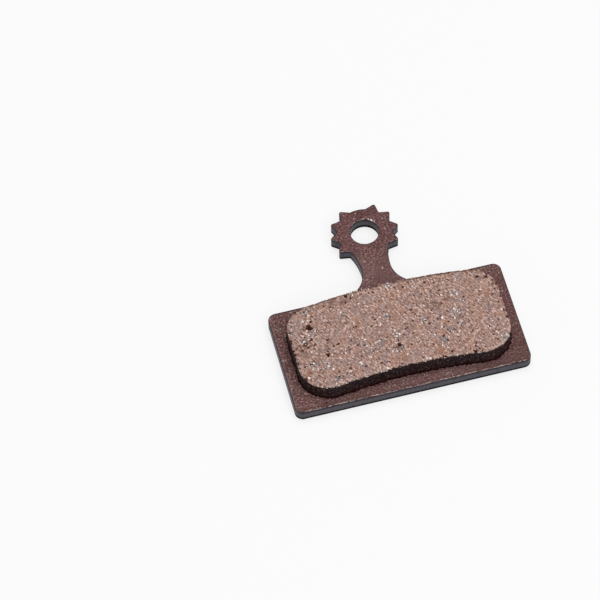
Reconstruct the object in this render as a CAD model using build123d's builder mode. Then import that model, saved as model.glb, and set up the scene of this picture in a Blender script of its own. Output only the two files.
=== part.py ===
from build123d import *

import os
from math import cos, radians, sin, sqrt

# Disc brake pad, lying on the back of its plate with the friction face up.
# The origin is the pin hole's axis where it meets the back face. X runs along
# the plate, Y points from the plate to the pin tab, Z out of the friction face.

# Backing plate, blanked from steel sheet (mm)
plate_length = 30.0
plate_height = 14.9
plate_thickness = 1.6
plate_corner_radius = 1.0
die_roll_radius = 0.15        # soft edge that blanking leaves on the friction side
back_edge_chamfer = 0.1       # deburred edge on the piston side

# Pin tab: a ring of teeth round the pin hole, on a waisted neck
pin_hole_diameter = 3.6
pin_hole_roll = 0.12          # soft edge on the friction side of the hole
pin_to_plate = 8.85           # hole axis to the plate's upper edge
tooth_root_diameter = 7.0
tooth_tip_diameter = 9.0
tooth_round = 0.25            # tips and roots alike
teeth_per_side = 4
ring_start_angle = -44.0      # where the teeth start above the neck, from +X
top_land_angle = 33.0         # bare stretch between the two top teeth
neck_width = 3.75
neck_foot_radius = 3.35

# Friction block, moulded on the plate along the rotor's track
block_height = 2.2
end_margin = 1.5              # bare plate at each end of the block
upper_margin = 0.65           # bare plate above the block, at mid length
lower_margin = 1.8            # bare plate below the block, at mid length
track_radius = 76.0           # outer radius of the rotor's brake track
upper_corner_radius = 3.3
lower_corner_radius = 3.8
draft_angle = 2.0             # lets the block leave its mould
rim_round = 0.12

# Keying holes in the plate, filled by plugs of the friction compound
key_diameter = 5.0
key_spacing = 14.0
key_recess = 0.15             # plug end below the back face

# Places worked out from the sizes above
plate_top = -pin_to_plate
plate_bottom = plate_top - plate_height
half_length = plate_length / 2
root_radius = tooth_root_diameter / 2
tip_radius = tooth_tip_diameter / 2
land_start_angle = 90 - top_land_angle / 2
tooth_pitch = (land_start_angle - ring_start_angle) / teeth_per_side
neck_foot = (neck_width / 2 + neck_foot_radius, plate_top + neck_foot_radius)

rim_height = plate_thickness + block_height
half_block = half_length - end_margin
block_top = plate_top - upper_margin
block_width = plate_height - upper_margin - lower_margin
rotor_axis = block_top - track_radius
inner_radius = track_radius - block_width
block_middle = block_top - block_width / 2
key_places = [(-key_spacing / 2, block_middle), (key_spacing / 2, block_middle)]


def ring_point(radius, angle):
    """Point on a circle round the pin hole, the angle in degrees from +X."""
    return (radius * cos(radians(angle)), radius * sin(radians(angle)))


def track_point(radius, x):
    """Point on a circle round the rotor's axis, at a given x."""
    return (x, rotor_axis + sqrt(radius**2 - x**2))


# Zigzag of one side's teeth, from the neck up to the bare land at the top
tooth_line = [ring_point(root_radius, ring_start_angle)]
for tooth in range(teeth_per_side):
    root_angle = ring_start_angle + tooth * tooth_pitch
    tooth_line.append(ring_point(tip_radius, root_angle + tooth_pitch / 2))
    tooth_line.append(ring_point(root_radius, root_angle + tooth_pitch))

# Backing plate
with BuildPart() as backing_plate:
    with BuildSketch() as blank:
        with BuildLine():
            Polyline(
                (half_length, plate_bottom),
                (half_length, plate_top),
                (neck_foot[0], plate_top),
            )
            foot = CenterArc(neck_foot, neck_foot_radius, start_angle=270, arc_size=-90)
            TangentArc(foot @ 1, tooth_line[0], tangent=foot % 1)
            Polyline(*tooth_line)
            mirror(about=Plane.YZ)
            CenterArc((0, 0), root_radius, start_angle=land_start_angle, arc_size=top_land_angle)
            Line((-half_length, plate_bottom), (half_length, plate_bottom))
        make_face()
        ring_corners = blank.vertices().sort_by_distance((0, 0))[:len(tooth_line) * 2]
        fillet(ring_corners, radius=tooth_round)
        plate_corners = blank.vertices().group_by(Axis.X)
        fillet(plate_corners[0] + plate_corners[-1], radius=plate_corner_radius)
    extrude(amount=plate_thickness)

    friction_side = backing_plate.faces().sort_by(Axis.Z)[-1]
    fillet(friction_side.outer_wire().edges(), radius=die_roll_radius)
    back_side = backing_plate.faces().sort_by(Axis.Z)[0]
    chamfer(back_side.outer_wire().edges(), length=back_edge_chamfer)

    Hole(radius=pin_hole_diameter / 2)
    hole_rims = backing_plate.faces().sort_by(Axis.Z)[-1].inner_wires()
    fillet(hole_rims[0].edges(), radius=pin_hole_roll)
    with Locations(*key_places):
        Hole(radius=key_diameter / 2)

# Friction block with its two plugs
with BuildPart() as friction_block:
    with BuildSketch(Plane.XY.offset(plate_thickness)) as footprint:
        with BuildLine():
            upper_left = track_point(track_radius, -half_block)
            upper_right = track_point(track_radius, half_block)
            lower_left = track_point(inner_radius, -half_block)
            lower_right = track_point(inner_radius, half_block)
            ThreePointArc(upper_left, track_point(track_radius, 0), upper_right)
            Line(upper_right, lower_right)
            ThreePointArc(lower_right, track_point(inner_radius, 0), lower_left)
            Line(lower_left, upper_left)
        make_face()
    extrude(amount=block_height)
    block_walls = friction_block.faces().filter_by(Axis.Z, reverse=True)
    draft(block_walls, neutral_plane=Plane.XY.offset(plate_thickness), angle=draft_angle)
    lower_pair, upper_pair = slice(0, 2), slice(-2, None)
    for pair, corner_radius in ((lower_pair, lower_corner_radius), (upper_pair, upper_corner_radius)):
        upright_edges = friction_block.edges().filter_by_position(
            Axis.Z, plate_thickness, rim_height, inclusive=(False, False)
        )
        fillet(upright_edges.sort_by(Axis.Y)[pair], radius=corner_radius)
    fillet(friction_block.faces().sort_by(Axis.Z)[-1].edges(), radius=rim_round)

    with BuildSketch(Plane.XY.offset(key_recess)):
        with Locations(*key_places):
            Circle(key_diameter / 2)
    extrude(amount=plate_thickness - key_recess)

os.makedirs("parts", exist_ok=True)
backing_plate.part.label = "backing_plate"
export_step(backing_plate.part, "parts/backing_plate.step")
friction_block.part.label = "friction_block"
export_step(friction_block.part, "parts/friction_block.step")
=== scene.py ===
"""Looks of a bicycle disc brake pad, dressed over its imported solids.

The pad lies on the back of its steel plate with the friction face up. Objects are in metres, in the
frame of the solids. Sizes of grain, pores and patterns are in millimetres.
"""

from __future__ import annotations

import logging
import math
import random
from dataclasses import dataclass, field
from enum import Enum

import bmesh
import bpy
from mathutils import Euler, Matrix, Vector, noise
from mathutils.bvhtree import BVHTree
from mathutils.kdtree import KDTree

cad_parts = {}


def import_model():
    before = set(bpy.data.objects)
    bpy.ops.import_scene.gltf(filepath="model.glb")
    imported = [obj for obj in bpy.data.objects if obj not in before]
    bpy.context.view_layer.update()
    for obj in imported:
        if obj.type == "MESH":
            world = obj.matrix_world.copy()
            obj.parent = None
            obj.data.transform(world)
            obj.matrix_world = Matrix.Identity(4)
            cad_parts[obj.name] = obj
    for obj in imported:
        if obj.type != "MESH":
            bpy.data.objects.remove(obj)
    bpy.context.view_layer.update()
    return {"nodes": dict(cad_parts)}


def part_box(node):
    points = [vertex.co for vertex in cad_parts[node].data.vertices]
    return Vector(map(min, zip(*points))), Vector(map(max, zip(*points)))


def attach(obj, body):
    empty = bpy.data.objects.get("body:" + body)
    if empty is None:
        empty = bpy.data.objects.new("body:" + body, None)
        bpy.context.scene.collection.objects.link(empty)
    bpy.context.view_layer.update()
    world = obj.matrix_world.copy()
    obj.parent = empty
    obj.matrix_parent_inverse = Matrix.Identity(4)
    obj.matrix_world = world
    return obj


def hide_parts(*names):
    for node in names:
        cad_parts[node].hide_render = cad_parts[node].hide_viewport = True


LOG = logging.getLogger("brake_pad")

MM = 0.001
BODY = "root"
DOWN = Vector((0, 0, -1))

Place = tuple[float, float, float]
Colour = tuple[float, float, float]
Socket = bpy.types.NodeSocket
Feed = Socket | float
Paint = Socket | Colour
# A least and a largest value
Range = tuple[float, float]
# The least, the largest and the most usual value that chance gives
Odds = tuple[float, float, float]
# Where a fade begins and ends, and its levels there if they aren't 0 and 1
Span = tuple[float, ...]
# Where colours stand on the way from 0 to 1
Stops = tuple[float, ...]
# Waves of a noise in a millimetre, and how many finer layers it has
Waves = tuple[float, float]
# Noises that are added up: the height of each, and its waves in a millimetre
Rags = tuple[tuple[float, float], ...]


def shade(red: int, green: int, blue: int) -> Colour:
    """Turns a colour on the screen's scale into the linear one that shaders take.

    Args:
        red: The red level, from 0 to 255.
        green: The green level.
        blue: The blue level.

    Returns:
        The linear colour.
    """

    def linear(level: int) -> float:
        """Gives one channel's linear level."""
        part = level / 255
        return part / 12.92 if part <= 0.04045 else ((part + 0.055) / 1.055) ** 2.4

    return (linear(red), linear(green), linear(blue))


def smooth(value: float, low: float, high: float) -> float:
    """Rises smoothly from 0 at low to 1 at high."""
    part = min(1.0, max(0.0, (value - low) / (high - low)))
    return part * part * (3 - 2 * part)


def rugged(spot: Vector, rags: Rags) -> float:
    """Adds up noises at a place in millimetres."""
    return sum(height * noise.noise(spot * waves) for height, waves in rags)


class NodeBench:
    """Lays out one material's nodes, with its patterns measured in millimetres."""

    def __init__(self, name: str) -> None:
        """Starts a material on object coordinates.

        Args:
            name: The material's name.
        """
        self.material = bpy.data.materials.new(name)
        self.material.use_nodes = True
        self.tree = self.material.node_tree
        self.shader = self.tree.nodes["Principled BSDF"]
        coordinates = self.node("ShaderNodeTexCoord")
        self.point = self.stretched(coordinates.outputs["Object"], (1 / MM, 1 / MM, 1 / MM))
        place = self.node("ShaderNodeSeparateXYZ", Vector=self.point)
        self.across, self.along, self.height = place.outputs
        heading = self.node("ShaderNodeSeparateXYZ", Vector=coordinates.outputs["Normal"])
        self.sideways, self.facing = heading.outputs["X"], heading.outputs["Y"]

    def node(self, kind: str, **feeds: Feed | Colour) -> bpy.types.Node:
        """Adds a node and feeds its inputs.

        Args:
            kind: The node's type.
            **feeds: A socket, a number or a colour for each input, by the input's name.

        Returns:
            The new node.
        """
        made = self.tree.nodes.new(kind)
        for name, feed in feeds.items():
            self.feed(made.inputs[name], feed)
        return made

    def feed(self, target: Socket, feed: Feed | Colour) -> None:
        """Links a socket to an input, or sets a constant on it.

        Args:
            target: The input.
            feed: The socket, number or colour.
        """
        if isinstance(feed, Socket):
            self.tree.links.new(feed, target)
        elif isinstance(feed, tuple) and target.type == "RGBA":
            target.default_value = (*feed, 1.0)
        else:
            target.default_value = feed

    def stretched(self, point: Socket, scale: Place) -> Socket:
        """Scales coordinates along the three axes."""
        return self.node("ShaderNodeMapping", Vector=point, Scale=scale).outputs["Vector"]

    def streaked(self, degrees: float, length: float) -> Socket:
        """Turns coordinates about Z and draws patterns out along the turned X.

        Args:
            degrees: The turn.
            length: How many times longer the patterns become.

        Returns:
            The new coordinates.
        """
        turn = (0, 0, math.radians(degrees))
        mapping = self.node("ShaderNodeMapping", Vector=self.point, Rotation=turn)
        mapping.vector_type = "TEXTURE"
        mapping.inputs["Scale"].default_value = (length, 1, 1)
        return mapping.outputs["Vector"]

    def noise(self, per_mm: float, detail: float, point: Socket | None = None) -> Socket:
        """Adds soft noise.

        Args:
            per_mm: How many waves go into a millimetre.
            detail: How many finer layers are added.
            point: Coordinates, if they aren't the plain millimetres.

        Returns:
            The noise, about 0.5 in the middle.
        """
        made = self.node("ShaderNodeTexNoise", Vector=point or self.point, Scale=per_mm, Detail=detail)
        return made.outputs["Fac"]

    def cells(self, per_mm: float, point: Socket | None = None) -> tuple[Socket, Socket, Socket]:
        """Adds a pattern of irregular cells.

        Args:
            per_mm: How many cells go into a millimetre.
            point: Coordinates, if they aren't the plain millimetres.

        Returns:
            The distance from a cell's middle, and two random numbers of the cell.
        """
        made = self.node("ShaderNodeTexVoronoi", Vector=point or self.point, Scale=per_mm)
        parts = self.node("ShaderNodeSeparateColor", Color=made.outputs["Color"])
        return made.outputs["Distance"], parts.outputs["Red"], parts.outputs["Green"]

    def ramp(self, value: Socket, stops: Stops, colours: tuple[Colour, ...]) -> Socket:
        """Turns a number into a colour.

        Args:
            value: The number, from 0 to 1.
            stops: Where the colours stand on the way from 0 to 1.
            colours: The colour at each of them.

        Returns:
            The colour.
        """
        made = self.node("ShaderNodeValToRGB", Fac=value)
        elements = made.color_ramp.elements
        while len(elements) < len(stops):
            elements.new(1.0)
        for element, stop, colour in zip(elements, stops, colours):
            element.position = stop
            element.color = (*colour, 1.0)
        return made.outputs["Color"]

    def blend(self, share: Feed, first: Paint, second: Paint, mode: str = "MIX") -> Socket:
        """Mixes two colours.

        Args:
            share: How much of the second colour is taken.
            first: The colour below.
            second: The colour on top.
            mode: How the second goes on the first.

        Returns:
            The mixed colour.
        """
        made = self.tree.nodes.new("ShaderNodeMix")
        made.data_type = "RGBA"
        made.blend_type = mode
        for index, feed in ((0, share), (6, first), (7, second)):
            self.feed(made.inputs[index], feed)
        return made.outputs[2]

    def coats(self, under: Paint, *layers: tuple[Feed, Paint]) -> Socket:
        """Lays colours one over another.

        Args:
            under: The lowest colour.
            *layers: How much is taken of each further colour, and the colour.

        Returns:
            The mixed colour.
        """
        for share, colour in layers:
            under = self.blend(share, under, colour)
        return under

    def math(self, operation: str, first: Feed, second: Feed = 0.0) -> Socket:
        """Works out one number from two.

        Args:
            operation: What is done with them.
            first: The first number.
            second: The second number.

        Returns:
            The outcome.
        """
        made = self.tree.nodes.new("ShaderNodeMath")
        made.operation = operation
        self.feed(made.inputs[0], first)
        self.feed(made.inputs[1], second)
        return made.outputs["Value"]

    def times(self, first: Feed, *others: Feed) -> Socket:
        """Multiplies numbers.

        Args:
            first: The first number.
            *others: The others.

        Returns:
            Their product.
        """
        for other in others:
            first = self.math("MULTIPLY", first, other)
        return first

    def apart(self, value: Socket, place: float) -> Socket:
        """Gives how far a number is from a place."""
        return self.math("ABSOLUTE", self.math("SUBTRACT", value, place))

    def fade(self, value: Socket, low: float, high: float, start: float = 0.0, end: float = 1.0) -> Socket:
        """Moves a number smoothly between two levels.

        Args:
            value: The number that is followed.
            low: Where the move begins.
            high: Where it ends.
            start: The level up to there.
            end: The level from there on.

        Returns:
            The level.
        """
        feeds = {"Value": value, "From Min": low, "From Max": high, "To Min": start, "To Max": end}
        made = self.node("ShaderNodeMapRange", **feeds)
        made.interpolation_type = "SMOOTHSTEP"
        return made.outputs["Result"]

    def zone(self, *fades: tuple[Socket, Span]) -> Socket:
        """Multiplies fades, each given by a number and its span."""
        return self.times(*(self.fade(value, *span) for value, span in fades))

    def area(self, across: Span, along: Span) -> Socket:
        """Finds a place on the pad by a span along X and one along Y."""
        return self.zone((self.across, across), (self.along, along))

    def attribute(self, name: str) -> Socket:
        """Reads a number that the mesh holds at its points.

        Args:
            name: The attribute's name.

        Returns:
            The number.
        """
        made = self.tree.nodes.new("ShaderNodeAttribute")
        made.attribute_name = name
        return made.outputs["Fac"]

    def bump(self, height: Socket, depth_mm: float) -> None:
        """Roughens the shading by a height of that depth."""
        made = self.node("ShaderNodeBump", Height=height, Strength=1.0, Distance=depth_mm * MM)
        self.feed(self.shader.inputs["Normal"], made.outputs["Normal"])

    def surface(self, **feeds: Feed | Colour) -> bpy.types.Material:
        """Feeds the shader's inputs.

        Args:
            **feeds: A socket, a number or a colour for each input, by its name with underscores for spaces.

        Returns:
            The finished material.
        """
        for name, feed in feeds.items():
            self.feed(self.shader.inputs[name.replace("_", " ")], feed)
        return self.material


@dataclass(frozen=True)
class Glint:
    """A painted highlight on the pin hole's lip: its place along X and reach in millimetres, and its
    strength.
    """

    place: float
    reach: float
    strength: float


@dataclass(frozen=True)
class CoatedSteel:
    """Speckled brown coat on the faces of a blanked plate, grey steel at its sheared edges.

    Places, heights and radii are in millimetres in the pad's frame.
    """

    coat: tuple[Colour, ...] = (shade(56, 33, 33), shade(114, 82, 79), shade(182, 148, 143))
    shaded: Colour = shade(88, 60, 57)
    # Pale coat: dust at the scuff and the neck, painted light on the front strip
    dust_and_light: Colour = shade(136, 105, 105)
    plum: Colour = shade(108, 74, 77)
    olive: Colour = shade(108, 90, 82)
    speck: Colour = shade(60, 37, 37)
    salt: Colour = shade(216, 186, 181)
    burnished: Colour = shade(87, 83, 91)
    # Near-black at the foot of the walls: fractured steel with painted shade
    torn_and_foot_shade: Colour = shade(26, 25, 28)
    # Pale steel: painted highlights along the edges, and a pale line at the left end
    bare: Colour = shade(200, 178, 172)
    glint: Colour = shade(250, 246, 243)
    # Painted shade: the dark of the lines on edges that face the upper edge's way, along the far edge and
    # along the rolled top of the walls
    scale: Colour = shade(34, 23, 23)
    # The coat's faces and gloss
    face_heights: Span = (1.586, 1.598)
    back_heights: Span = (0.02, 0.0)
    grain_share: Span = (0.0, 1.0, 0.15, 1.0)
    grain_depth: float = 0.035
    metal_share: Span = (0.0, 1.0, 0.45, 0.0)
    roughness: Span = (0.0, 0.45, 0.75, 0.45)
    gloss: float = 0.06
    # Painted shade on rolled edges that face the upper edge's way
    away_facing: Span = (0.02, 0.2)
    away_heights: Span = (1.45, 1.5)
    # The mottle
    dust: Waves = (4.4, 1.6)
    dust_stops: Stops = (0.25, 0.5, 0.75)
    tint: Waves = (0.9, 3.0)
    plum_tint: Span = (0.5, 0.62, 0.0, 0.5)
    olive_tint: Span = (0.46, 0.36, 0.0, 0.5)
    cloud: Waves = (0.5, 3.0)
    cloud_share: Span = (0.45, 0.68, 0.0, 0.5)
    # Darker and paler places on the coat, with painted light on the front strip
    right_corner: tuple[Span, Span] = ((12.0, 14.0), (-12.0, -22.5, 0.22, 0.5))
    front_right: tuple[Span, Span] = ((5.8, 12.0, 0.0, 0.46), (-22.0, -22.6))
    # Painted light: the front strip beside the block made paler
    front_painted_light: Span = (-21.6, -22.3, 0.0, 0.14)
    scuff_middle: float = 4.6
    scuff_reach: Span = (2.6, 1.0, 0.0, 0.24)
    scuff_front: Span = (-21.8, -22.4)
    left_shade: Span = (-12.8, -13.6, 0.0, 0.1)
    left_line: Span = (-14.5, -14.75, 0.0, 0.09)
    neck_foot: Span = (-11.0, -7.5, 0.0, 0.3)
    neck_top: Span = (-6.0, -3.0, 1.0, 0.1)
    ring_plum: Span = (-4.0, -1.5, 0.0, 0.4)
    ring_shade: Span = (-3.0, -1.0, 0.0, 0.22)
    # Specks: the way from a cell's middle, which cells, how strong, and for the line at the left where
    specks_per_mm: float = 2.6
    dark_speck: tuple[Span, ...] = ((0.4, 0.2), (0.2, 0.1), (0.0, 1.0, 0.2, 0.8))
    salt_speck: tuple[Span, ...] = ((0.36, 0.16), (0.76, 0.88), (0.0, 1.0, 0.1, 0.9))
    salt_line: tuple[Span, ...] = ((0.32, 0.16), (0.6, 0.7), (-14.0, -14.5), (-19.0, -16.0, 0.1, 0.5))
    # Lines along the edges: a darker band, a painted shade line and a painted highlight line, and painted
    # highlights on the hole's lip
    front_shade: Span = (-23.05, -23.35, 0.0, 0.42)
    far_line: tuple[Span, Span] = ((-9.11, -9.01), (-8.83, -8.85))
    far_ends: Span = (4.6, 5.4, 0.0, 0.75)
    front_line: Span = (-23.53, -23.59)
    broken: Waves = (2.2, 3.0)
    broken_share: Span = (0.47, 0.6, 0.0, 0.9)
    lip_radii: Span = (2.14, 2.0)
    lip_side: Span = (0.8, 1.1)
    glint_core: float = 0.4
    glints: tuple[Glint, ...] = (
        Glint(1.30, 0.13, 1.0),
        Glint(0.97, 0.12, 0.55),
        Glint(0.38, 0.11, 0.4),
        Glint(1.59, 0.08, 0.5),
    )
    # The sheared walls
    streak: Waves = (5.0, 3.0)
    streak_scale: Place = (1.0, 1.0, 0.12)
    streak_share: Span = (0.45, 0.8, 0.0, 0.35)
    tear: Waves = (2.5, 2.0)
    tear_height: float = 0.2
    risen_heights: Span = (0.44, 0.66)
    # Painted shade along the rolled top of the walls, weaker where they face -X
    rolled_heights: Span = (1.28, 1.48)
    rolled_sides: Span = (-0.8, -0.4, 0.38, 0.52)
    unrolled: Span = (0.0, 1.0, 1.0, 0.0)
    # The painted highlight on rolled edges that face the lower edge's way
    edge_highlight_breakup: Waves = (2.6, 3.0)
    edge_highlight_share: Span = (0.42, 0.6)
    edge_highlight_facing: Span = (-0.08, -0.3)
    edge_highlight_foot: Span = (1.55, 1.575)
    edge_highlight_top: Span = (1.6, 1.596, 0.0, 0.6)

    def make(self) -> bpy.types.Material:
        """Makes the finish.

        Returns:
            The material, which tells faces from walls by their height in the plate.
        """
        bench = NodeBench("coated_steel")
        dust = bench.noise(*self.dust)
        face = bench.fade(bench.height, *self.face_heights)
        back = bench.fade(bench.height, *self.back_heights)
        coated = bench.math("MAXIMUM", face, back)
        bench.bump(bench.times(dust, bench.fade(coated, *self.grain_share)), self.grain_depth)
        wall, burnish = self.sheared_wall(bench)
        metal = bench.times(burnish, bench.fade(coated, *self.metal_share))
        # Painted shade on rolled edges that face the upper edge's way, painted highlight on those that face
        # the lower edge's way
        away = bench.zone((bench.facing, self.away_facing), (bench.height, self.away_heights))
        colour = bench.coats(
            wall,
            (coated, self.coat_colour(bench, dust)),
            (away, self.scale),
            (self.edge_highlight(bench), self.bare),
        )
        return bench.surface(
            Base_Color=colour,
            Metallic=metal,
            Roughness=bench.fade(metal, *self.roughness),
            Specular_IOR_Level=self.gloss,
        )

    def coat_colour(self, bench: NodeBench, dust: Socket) -> Socket:
        """Colours the coat: a fine mottle of two tints with darker clouds, then darker and paler places with
        painted light on the front strip, specks, and painted shade and highlights at the edges.

        Args:
            bench: The material's nodes.
            dust: The fine noise that also roughens the coat.

        Returns:
            The coat's colour.
        """
        tint = bench.noise(*self.tint)
        coat = bench.ramp(dust, self.dust_stops, self.coat)
        coat = bench.blend(bench.fade(tint, *self.plum_tint), coat, self.plum, "COLOR")
        coat = bench.blend(bench.fade(tint, *self.olive_tint), coat, self.olive, "COLOR")
        coat = bench.blend(bench.fade(bench.noise(*self.cloud), *self.cloud_share), coat, self.shaded)
        return self.edged(bench, self.specked(bench, self.toned_by_place(bench, coat)))

    def toned_by_place(self, bench: NodeBench, coat: Socket) -> Socket:
        """Darkens and pales the coat by place; the pale front strip is painted light.

        Args:
            bench: The material's nodes.
            coat: The coat's colour so far.

        Returns:
            The coat's new colour.
        """
        aside = bench.apart(bench.across, self.scuff_middle)
        coat = bench.coats(
            coat,
            (bench.area(*self.right_corner), self.shaded),
            (bench.area(*self.front_right), self.shaded),
            # Painted light on the front strip beside the block
            (bench.fade(bench.along, *self.front_painted_light), self.dust_and_light),
            (bench.zone((aside, self.scuff_reach), (bench.along, self.scuff_front)), self.dust_and_light),
            (bench.fade(bench.across, *self.left_shade), self.shaded),
            (bench.fade(bench.across, *self.left_line), self.bare),
            (bench.zone((bench.along, self.neck_foot), (bench.along, self.neck_top)), self.dust_and_light),
        )
        coat = bench.blend(bench.fade(bench.along, *self.ring_plum), coat, self.plum, "COLOR")
        return bench.blend(bench.fade(bench.along, *self.ring_shade), coat, self.shaded)

    def specked(self, bench: NodeBench, coat: Socket) -> Socket:
        """Strews dark and pale specks over the coat, with a line of pale ones at the left edge.

        Args:
            bench: The material's nodes.
            coat: The coat's colour so far.

        Returns:
            The coat's new colour.
        """
        cell = bench.cells(self.specks_per_mm)
        line = (*cell[:2], bench.across, bench.along)
        return bench.coats(
            coat,
            (bench.zone(*zip(cell, self.dark_speck)), self.speck),
            (bench.zone(*zip(cell, self.salt_speck)), self.salt),
            (bench.zone(*zip(line, self.salt_line)), self.salt),
        )

    def edged(self, bench: NodeBench, coat: Socket) -> Socket:
        """Draws a darker band, a painted shade line and a painted highlight line along the coat's edges, and
        painted highlights on the hole's lip.

        Args:
            bench: The material's nodes.
            coat: The coat's colour so far.

        Returns:
            The coat's new colour.
        """
        beside = bench.math("ABSOLUTE", bench.across)
        # Painted shade: a dark line along the far edge
        far = bench.zone(*((bench.along, span) for span in self.far_line), (beside, self.far_ends))
        # Painted highlight: a broken pale line along the lower edge
        edge_highlight = bench.zone((bench.along, self.front_line), (bench.noise(*self.broken), self.broken_share))
        coat = bench.coats(
            coat,
            (bench.fade(bench.along, *self.front_shade), self.shaded),
            (far, self.scale),
            (edge_highlight, self.bare),
        )
        # Painted highlights on the far side of the pin hole's lip
        radius = bench.node("ShaderNodeVectorMath", Vector=bench.stretched(bench.point, (1.0, 1.0, 0.0)))
        radius.operation = "LENGTH"
        lip = bench.zone((radius.outputs["Value"], self.lip_radii), (bench.along, self.lip_side))
        for painted_highlight in self.glints:
            reach = (painted_highlight.reach, self.glint_core * painted_highlight.reach, 0.0, painted_highlight.strength)
            near = bench.fade(bench.apart(bench.across, painted_highlight.place), *reach)
            coat = bench.blend(bench.times(lip, near), coat, self.glint)
        return coat

    def sheared_wall(self, bench: NodeBench) -> tuple[Socket, Socket]:
        """Colours the sheared walls: a near-black foot of fractured steel and painted shade, grey steel with
        dark streaks above it, and a painted shade line along the rolled top.

        Args:
            bench: The material's nodes.

        Returns:
            The walls' colour, and where the shear burnished them.
        """
        streak = bench.noise(*self.streak, bench.stretched(bench.point, self.streak_scale))
        ragged = bench.math("ADD", bench.height, bench.times(bench.noise(*self.tear), self.tear_height))
        risen = bench.fade(ragged, *self.risen_heights)
        # Painted shade along the rolled top, weaker on walls that face -X
        rolled = bench.zone((ragged, self.rolled_heights), (bench.sideways, self.rolled_sides))
        burnish = bench.times(risen, bench.fade(rolled, *self.unrolled))
        wall = bench.coats(
            self.torn_and_foot_shade,
            (risen, self.burnished),
            (bench.fade(streak, *self.streak_share), self.torn_and_foot_shade),
            (rolled, self.scale),
        )
        return wall, burnish

    def edge_highlight(self, bench: NodeBench) -> Socket:
        """Finds where a highlight is painted: on the rolled edges that face the lower edge's way.

        Args:
            bench: The material's nodes.

        Returns:
            How much of the painted highlight shows.
        """
        return bench.zone(
            (bench.facing, self.edge_highlight_facing),
            (bench.noise(*self.edge_highlight_breakup), self.edge_highlight_share),
            (bench.height, self.edge_highlight_foot),
            (bench.height, self.edge_highlight_top),
        )


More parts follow.
